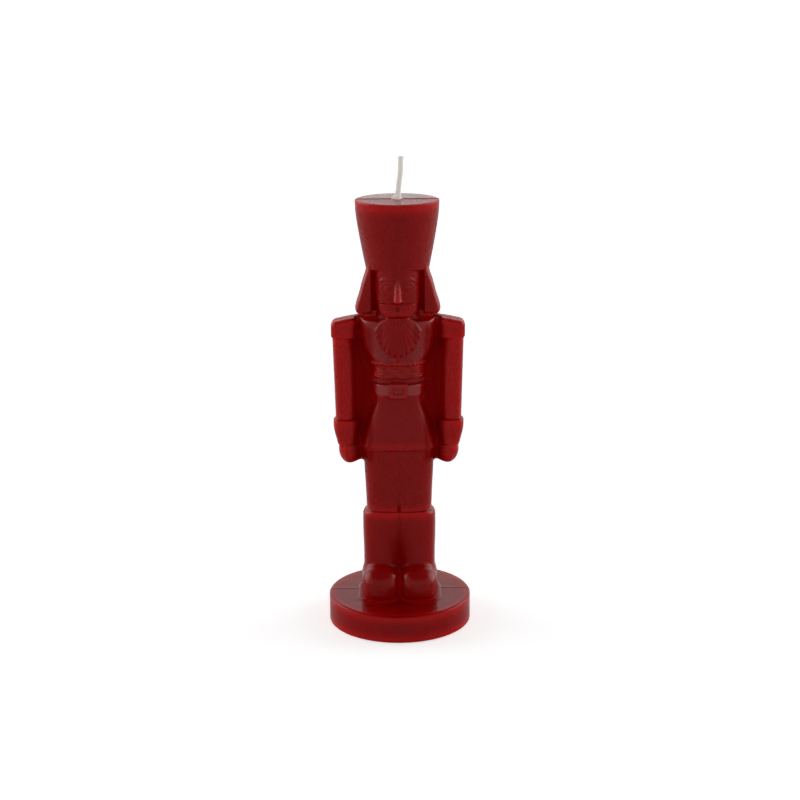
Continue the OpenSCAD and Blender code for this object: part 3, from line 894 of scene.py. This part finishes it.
class Nodes:
    """Short hands for building a node tree whose patterns are laid out by the named kind of coordinates."""

    def __init__(self, tree, coordinates):
        self.tree = tree
        self.place = tree.nodes.new("ShaderNodeTexCoord").outputs[coordinates]

    def link(self, a, b):
        self.tree.links.new(a, b)

    def set(self, socket, value):
        if isinstance(value, bpy.types.NodeSocket):
            self.link(value, socket)
        else:
            socket.default_value = value

    def noise(self, scale, detail=3, rough=0.5, at=None):
        n = self.tree.nodes.new("ShaderNodeTexNoise")
        n.inputs["Scale"].default_value = scale
        n.inputs["Detail"].default_value = detail
        n.inputs["Roughness"].default_value = rough
        self.link(at or self.place, n.inputs["Vector"])
        return n.outputs["Fac"]

    def voronoi(self, scale, at=None):
        n = self.tree.nodes.new("ShaderNodeTexVoronoi")
        n.inputs["Scale"].default_value = scale
        self.link(at or self.place, n.inputs["Vector"])
        return n.outputs["Distance"]

    def attribute(self, name):
        n = self.tree.nodes.new("ShaderNodeAttribute")
        n.attribute_name = name
        return n.outputs["Fac"]

    def math(self, kind, a, b=0.0):
        n = self.tree.nodes.new("ShaderNodeMath")
        n.operation = kind
        self.set(n.inputs[0], a)
        self.set(n.inputs[1], b)
        return n.outputs[0]

    def ramp(self, value, low, high, out_low=0.0, out_high=1.0):
        n = self.tree.nodes.new("ShaderNodeMapRange")
        n.interpolation_type = "SMOOTHSTEP"
        self.set(n.inputs["Value"], value)
        for key, v in (("From Min", low), ("From Max", high), ("To Min", out_low), ("To Max", out_high)):
            n.inputs[key].default_value = v
        return n.outputs["Result"]

    def mix(self, factor, a, b):
        n = self.tree.nodes.new("ShaderNodeMix")
        n.data_type = "RGBA"
        self.set(n.inputs["Factor"], factor)
        self.set(n.inputs["A"], a)
        self.set(n.inputs["B"], b)
        return n.outputs["Result"]

    def bump(self, height, distance, strength=1.0, normal=None):
        n = self.tree.nodes.new("ShaderNodeBump")
        n.inputs["Distance"].default_value = distance
        n.inputs["Strength"].default_value = strength
        self.set(n.inputs["Height"], height)
        if normal is not None:
            self.link(normal, n.inputs["Normal"])
        return n.outputs["Normal"]

    def along(self, axis):
        n = self.tree.nodes.new("ShaderNodeSeparateXYZ")
        self.link(self.place, n.inputs[0])
        return n.outputs[axis]

    def z(self):
        return self.along("Z")


def new_material(name):
    """A node material with an empty Principled shader, and the short hands to fill it."""
    material = bpy.data.materials.new(name)
    material.use_nodes = True
    material.node_tree.nodes.clear()
    n = Nodes(material.node_tree, "Object")
    shader = n.tree.nodes.new("ShaderNodeBsdfPrincipled")
    out = n.tree.nodes.new("ShaderNodeOutputMaterial")
    n.link(shader.outputs[0], out.inputs["Surface"])
    return material, n, shader.inputs


def wax_colour(n):
    """Dyed wax: clouded and mottled, with painted shade in its hollows and valleys, a painted glow where it
    is thin, and a painted highlight on top of the hat.
    """
    deep = (0.235, 0.0004, 0.0005, 1)
    body = (0.312, 0.0014, 0.0018, 1)
    pale = (0.56, 0.005, 0.005, 1)
    # pale colour of the painted highlight on top of the hat
    top_highlight = (0.86, 0.78, 0.76, 1)
    cavity = n.attribute("cavity")
    cloud = n.ramp(n.noise(140, 4, 0.6), 0.35, 0.7)
    mottle = n.ramp(n.noise(900, 3, 0.6), 0.4, 0.75)
    open_thin = n.math("SUBTRACT", n.attribute("thin"), cavity)
    colour = n.mix(n.math("MULTIPLY", cloud, 0.25), body, deep)
    colour = n.mix(n.math("MULTIPLY", mottle, 0.12), colour, pale)
    # painted glow: paler where the wax is thin and open
    colour = n.mix(n.ramp(open_thin, 0.12, 0.8, 0, 0.85), colour, pale)
    # painted shade: darker in hollows, in the valleys between arms and body, over the toes and on the foot in
    # front of them
    colour = n.mix(n.ramp(cavity, 0.1, 0.8, 0, 0.6), colour, deep)
    colour = n.mix(n.math("MULTIPLY", n.attribute("valley"), 0.85), colour, deep)
    # painted highlight on top of the hat
    return n.mix(hat_top_highlight(n), colour, top_highlight)


def hat_top_highlight(n):
    """Share of the painted highlight on the wax: on top of the hat only, patchy, and stronger on its back
    half.
    """
    lid = n.ramp(n.z(), (HAT_TOP - 0.4) * MM, (HAT_TOP - 0.1) * MM)
    back_half = n.ramp(n.along("Y"), (AXIS_Y + 0.3) * MM, (AXIS_Y + 1) * MM, 0.12, 0.5)
    patchy = n.ramp(n.noise(500, 4, 0.6), 0.3, 0.7, 0.8, 1.2)
    return n.math("MULTIPLY", n.math("MULTIPLY", lid, back_half), patchy)


def wax_roughness(n):
    """The boots and the foot are glossier than the figure over them."""
    base = n.ramp(n.z(), (BOOT_TOP - 4) * MM, (BOOT_TOP + 4) * MM, 0.07, 0.27)
    return n.math("ADD", base, n.ramp(n.noise(350, 4, 0.65), 0.3, 0.75, -0.03, 0.09))


def wax_shine(n):
    """Each element's own shine, but little of it in hollows and valleys."""
    hollow = n.ramp(n.attribute("cavity"), 0.15, 0.9, 0, 0.8)
    hidden = n.math("MAXIMUM", hollow, n.math("MULTIPLY", n.attribute("valley"), 0.9))
    return n.math("MULTIPLY", n.attribute("shine"), n.math("SUBTRACT", 1.0, hidden))


def wax_relief(n):
    """Broad waves, a fine grain, and pits in a few places."""
    specks = n.ramp(n.voronoi(420), 0.0, 0.16, 1, 0)
    sparse = n.ramp(n.noise(230, 1), 0.66, 0.72)
    relief = n.bump(n.noise(260, 3, 0.5), 0.00012)
    relief = n.bump(n.noise(1500, 3, 0.6), 0.00003, 1, relief)
    return n.bump(n.math("MULTIPLY", specks, sparse), 0.00008, 1, relief)


def wax_material():
    """Satin wax. Its creases give off a little red, as light does that has come through the wax."""
    material, n, inputs = new_material("dyed_wax")
    n.set(inputs["Base Color"], wax_colour(n))
    n.set(inputs["Roughness"], wax_roughness(n))
    n.set(inputs["Specular IOR Level"], wax_shine(n))
    n.set(inputs["Emission Color"], (1, 0.006, 0.006, 1))
    n.set(inputs["Emission Strength"], n.ramp(n.attribute("cavity"), 0.3, 1, 0, 0.06))
    n.set(inputs["IOR"], 1.45)
    n.set(inputs["Subsurface Weight"], 0.5)
    n.set(inputs["Subsurface Radius"], (1.0, 0.12, 0.1))
    n.set(inputs["Subsurface Scale"], MM)
    n.set(inputs["Normal"], wax_relief(n))
    return material


def cotton_material():
    """Waxed cotton, which glows faintly with the light that its fibres scatter."""
    material, n, inputs = new_material("waxed_cotton")
    fibre = n.noise(2600, 4, 0.7)
    strand = n.attribute("valley")
    colour = n.mix(n.ramp(fibre, 0.3, 0.7), (0.93, 0.9, 0.84, 1), (1, 0.98, 0.93, 1))
    # painted shade between the strands of the braid
    colour = n.mix(n.ramp(strand, 0.45, 1, 0, 0.3), colour, (0.5, 0.46, 0.42, 1))
    n.set(inputs["Base Color"], colour)
    n.set(inputs["Roughness"], n.ramp(fibre, 0.3, 0.7, 0.5, 0.75))
    n.set(inputs["Subsurface Weight"], 0.4)
    n.set(inputs["Subsurface Radius"], (1, 0.9, 0.7))
    n.set(inputs["Subsurface Scale"], MM)
    n.set(inputs["Emission Color"], (0.93, 0.87, 0.78, 1))
    n.set(inputs["Emission Strength"], n.ramp(strand, 0.2, 1, 0.13, 0.09))
    n.set(inputs["Normal"], n.bump(fibre, 0.00006))
    return material


def tin_material():
    """Tinned steel sheet with a fine rolled grain."""
    material, n, inputs = new_material("tinned_steel")
    grain = n.noise(1200, 3)
    colour = n.mix(n.ramp(grain, 0.3, 0.7), (0.5, 0.5, 0.49, 1), (0.66, 0.66, 0.64, 1))
    n.set(inputs["Base Color"], colour)
    n.set(inputs["Metallic"], 1)
    n.set(inputs["Roughness"], n.ramp(grain, 0.3, 0.7, 0.28, 0.45))
    n.set(inputs["Normal"], n.bump(grain, 0.00002))
    return material


def floor_material():
    """White card. It lights the wax less than it looks to the camera, which sees an even white."""
    material, n, inputs = new_material("pale_floor")
    view = n.tree.nodes.new("ShaderNodeLightPath").outputs["Is Camera Ray"]
    card = n.mix(n.noise(3, 2), (0.58, 0.58, 0.58, 1), (0.62, 0.62, 0.62, 1))
    n.set(inputs["Base Color"], n.mix(view, card, (0.9, 0.9, 0.9, 1)))
    n.set(inputs["Roughness"], 0.9)
    n.set(inputs["Specular IOR Level"], 0.1)
    n.set(inputs["Emission Color"], (1, 1, 1, 1))
    n.set(inputs["Emission Strength"], n.ramp(view, 0, 1, 0.12, 0.58))
    return material


WAX = wax_material()
COTTON = cotton_material()
TIN = tin_material()


# ---------- wick ----------

WICK_R = width_of("wick_core") / 2
WICK_FOOT = HAT_TOP - 1.5
WICK_TIP = z_span("wick_end")[1] + 0.1
WICK_SWAY = 1.35       # how far the tip leans from the axis
STRANDS = 8
STRAND_TURNS = 3.6     # how often each strand goes round the wick
STRAND_SIDES = 8
STRAND_RINGS = 300


def wick_centre(t):
    """The wick's middle line from inside the wax, at t = 0, to its cut end, at t = 1."""
    z = WICK_FOOT + (WICK_TIP - WICK_FOOT) * t
    free = np.clip((z - HAT_TOP) / (WICK_TIP - HAT_TOP), 0, 1)
    x = WICK_SWAY * (1 - (1 - free) ** 1.7) + 0.05 * np.sin(4 * math.pi * free)
    y = AXIS_Y + 0.25 * np.sin(math.pi * free)
    return np.stack([x, y, z], -1)


def unit(vectors):
    """Each row scaled to length 1."""
    return vectors / np.linalg.norm(vectors, axis=1)[:, None]


def strand_path(s):
    """Middle line of one strand, its directions along and outwards, its thickness and its weave.

    Every second strand winds the other way, and weave goes from -1, under the others, to 1, over them.
    The strands spread where they leave the wax, and fray at the cut end.
    """
    t = np.linspace(0, 1, STRAND_RINGS)
    line = wick_centre(t)
    way = 1 if s % 2 else -1
    phase = 2 * math.pi * (s // 2) / (STRANDS // 2) + (0 if way > 0 else math.pi / STRANDS)
    angle = way * 2 * math.pi * STRAND_TURNS * t + phase
    weave = np.cos(2 * angle * way * 2 + (0 if way > 0 else math.pi))
    fray = 0.12 * step_up(t, 0.93, 1)
    spread = 0.75 * np.exp(-np.maximum(line[:, 2] - HAT_TOP, 0) / 0.9)
    ring_r = WICK_R - 0.19 + 0.07 * weave + fray + spread
    out = np.stack([np.cos(angle), np.sin(angle), np.zeros(STRAND_RINGS)], -1)
    centre = line + ring_r[:, None] * out
    tangent = unit(np.gradient(centre, axis=0))
    out = unit(out - (out * tangent).sum(1)[:, None] * tangent)
    thick = (0.28 + 0.35 * spread) * (1 - 0.25 * step_up(t, 0.97, 1))
    return centre, tangent, out, thick, weave


def add_strand(s, verts, faces, valley):
    """Adds one strand's closed tube, with how deep between the strands each vertex lies."""
    centre, tangent, out, thick, weave = strand_path(s)
    side = np.cross(tangent, out)
    first = len(verts)
    for i in range(STRAND_RINGS):
        for k in range(STRAND_SIDES):
            a = 2 * math.pi * k / STRAND_SIDES
            across = 1.25 * thick[i] * math.sin(a) * side[i]
            verts.append(centre[i] + across + thick[i] * math.cos(a) * out[i])
            valley.append(0.5 - 0.5 * math.cos(a) + 0.2 * (1 - weave[i]))
    for i in range(STRAND_RINGS - 1):
        low = first + i * STRAND_SIDES
        high = low + STRAND_SIDES
        for k in range(STRAND_SIDES):
            n = (k + 1) % STRAND_SIDES
            faces.append((low + k, low + n, high + n, high + k))
    for end, ring in ((-1, 0), (1, STRAND_RINGS - 1)):
        cap = len(verts)
        verts.append(centre[ring] + 0.05 * end * tangent[ring])
        valley.append(0.3)
        edge = first + ring * STRAND_SIDES
        for k in range(STRAND_SIDES):
            a = edge + k
            b = edge + (k + 1) % STRAND_SIDES
            faces.append((a, b, cap) if end > 0 else (b, a, cap))


def build_wick():
    """The free wick, a round braid that bends smoothly where the hinge is."""
    verts, faces, valley = [], [], []
    for s in range(STRANDS):
        add_strand(s, verts, faces, valley)
    mesh = bpy.data.meshes.new("wick_braid")
    mesh.from_pydata([tuple(v * MM) for v in verts], [], faces)
    mesh.update()
    mesh.polygons.foreach_set("use_smooth", np.ones(len(mesh.polygons), bool))
    attribute = mesh.attributes.new("valley", "FLOAT", "POINT")
    attribute.data.foreach_set("value", np.clip(valley, 0, 1).astype(np.float32))
    mesh.materials.append(COTTON)
    wick = bpy.data.objects.new("wick_braid", mesh)
    bpy.context.scene.collection.objects.link(wick)
    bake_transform(wick)
    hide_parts("wick_end")


# ---------- build ----------

for element in NAMES:
    wax_piece(element)
build_wick()
for node, material in (("wick_core", COTTON), ("wick_tab", TIN)):
    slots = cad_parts[node].data.materials
    slots.clear()
    slots.append(material)


# ---------- stage ----------

def build_floor():
    """A wide disk of card just under the foot."""
    radius = 20
    ring = 96
    gap = 0.0002
    angles = [2 * math.pi * i / ring for i in range(ring)]
    points = [(radius * math.cos(a), radius * math.sin(a), -gap) for a in angles]
    mesh = bpy.data.meshes.new("floor")
    mesh.from_pydata(points, [], [tuple(range(ring))])
    mesh.materials.append(floor_material())
    floor = bpy.data.objects.new("floor", mesh)
    bpy.context.scene.collection.objects.link(floor)


def build_light():
    """A white room lit from above and behind, with the darker room the camera stands in before the figure.

    It is brightest at both flanks, and nearly dark straight overhead.
    """
    front, back, flank = 0.58, 0.85, 2.8
    world = bpy.data.worlds.new("studio")
    world.use_nodes = True
    n = Nodes(world.node_tree, "Generated")
    sideways = n.math("MULTIPLY", n.along("X"), n.along("X"))
    flanks = n.math("MULTIPLY", n.ramp(sideways, 0.2, 0.7, 0, flank), n.ramp(n.along("Y"), -0.3, 0.2, 0.3, 1))
    around = n.math("MAXIMUM", n.ramp(n.along("Y"), -0.2, 0.6, front, back), flanks)
    overhead = n.ramp(n.along("Z"), 0.5, 0.72, 1.0, 0.2)
    background = n.tree.nodes["Background"].inputs
    n.set(background["Strength"], n.math("MULTIPLY", around, overhead))
    n.set(background["Color"], (1, 1, 1, 1))
    bpy.context.scene.world = world
    bpy.context.scene.view_settings.view_transform = "Standard"


CAMERA_PLACE = (0.00055, -0.55885, 0.23174)
CAMERA_TILT = 15.19      # degrees below level
CAMERA_ROLL = -0.39
CAMERA_LENS = 75.3       # millimetres, on a sensor 36 wide


def build_camera():
    """The camera stands a little over half a metre away and looks down on the figure."""
    data = bpy.data.cameras.new("camera")
    data.sensor_width = 36
    data.lens = CAMERA_LENS
    data.clip_start = 0.01
    camera = bpy.data.objects.new("camera", data)
    tilt = Matrix.Rotation(math.radians(90 - CAMERA_TILT), 4, "X")
    roll = Matrix.Rotation(math.radians(CAMERA_ROLL), 4, "Z")
    camera.matrix_world = Matrix.Translation(CAMERA_PLACE) @ tilt @ roll
    bpy.context.scene.collection.objects.link(camera)
    bpy.context.scene.camera = camera


build_floor()
build_light()
build_camera()
